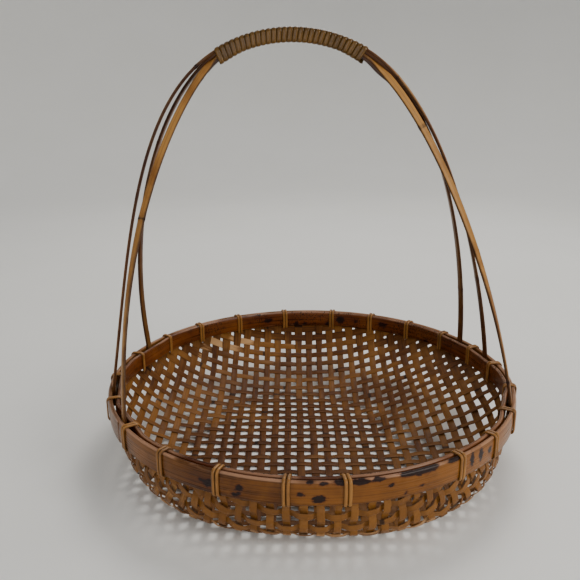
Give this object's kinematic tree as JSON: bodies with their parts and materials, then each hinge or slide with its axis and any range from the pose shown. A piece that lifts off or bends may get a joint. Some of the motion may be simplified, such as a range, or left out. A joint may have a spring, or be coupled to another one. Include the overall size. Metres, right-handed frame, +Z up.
{
  "type": "round bamboo basket",
  "caption": "Shallow round basket of plain-woven bamboo splints between two lashed hoops, with a tall fixed arched handle of flat strips and a cane-wrapped grip.",
  "frame": {"origin": "on the floor, below the middle of the rim", "axes": "+Z up; the handle spans X; its legs splay along Y"},
  "size_m": [0.4011, 0.4007, 0.3991],
  "materials": {
    "hoop_bamboo": "satin",
    "splint_bamboo": "satin",
    "strip_bamboo": "satin",
    "grip_cane": "gloss",
    "lashing_cane": "gloss"
  },
  "bodies": {
    "root": {"outer_hoop": "hoop_bamboo", "inner_hoop": "hoop_bamboo", "warp_splints": "splint_bamboo", "weft_splints": "splint_bamboo", "handle_strip_middle": "strip_bamboo", "handle_strip_back": "strip_bamboo", "handle_strip_front": "strip_bamboo", "grip_stiffener": "strip_bamboo", "grip_wrap": "grip_cane", "lashing_01": "lashing_cane", "lashing_02": "lashing_cane", "lashing_03": "lashing_cane", "lashing_04": "lashing_cane", "lashing_05": "lashing_cane", "lashing_06": "lashing_cane", "lashing_07": "lashing_cane", "lashing_08": "lashing_cane", "lashing_09": "lashing_cane", "lashing_10": "lashing_cane", "lashing_11": "lashing_cane", "lashing_12": "lashing_cane", "lashing_13": "lashing_cane", "lashing_14": "lashing_cane", "lashing_15": "lashing_cane", "lashing_16": "lashing_cane", "lashing_17": "lashing_cane", "lashing_18": "lashing_cane", "lashing_19": "lashing_cane", "lashing_20": "lashing_cane", "lashing_21": "lashing_cane", "lashing_22": "lashing_cane"}
  },
  "joints": []
}
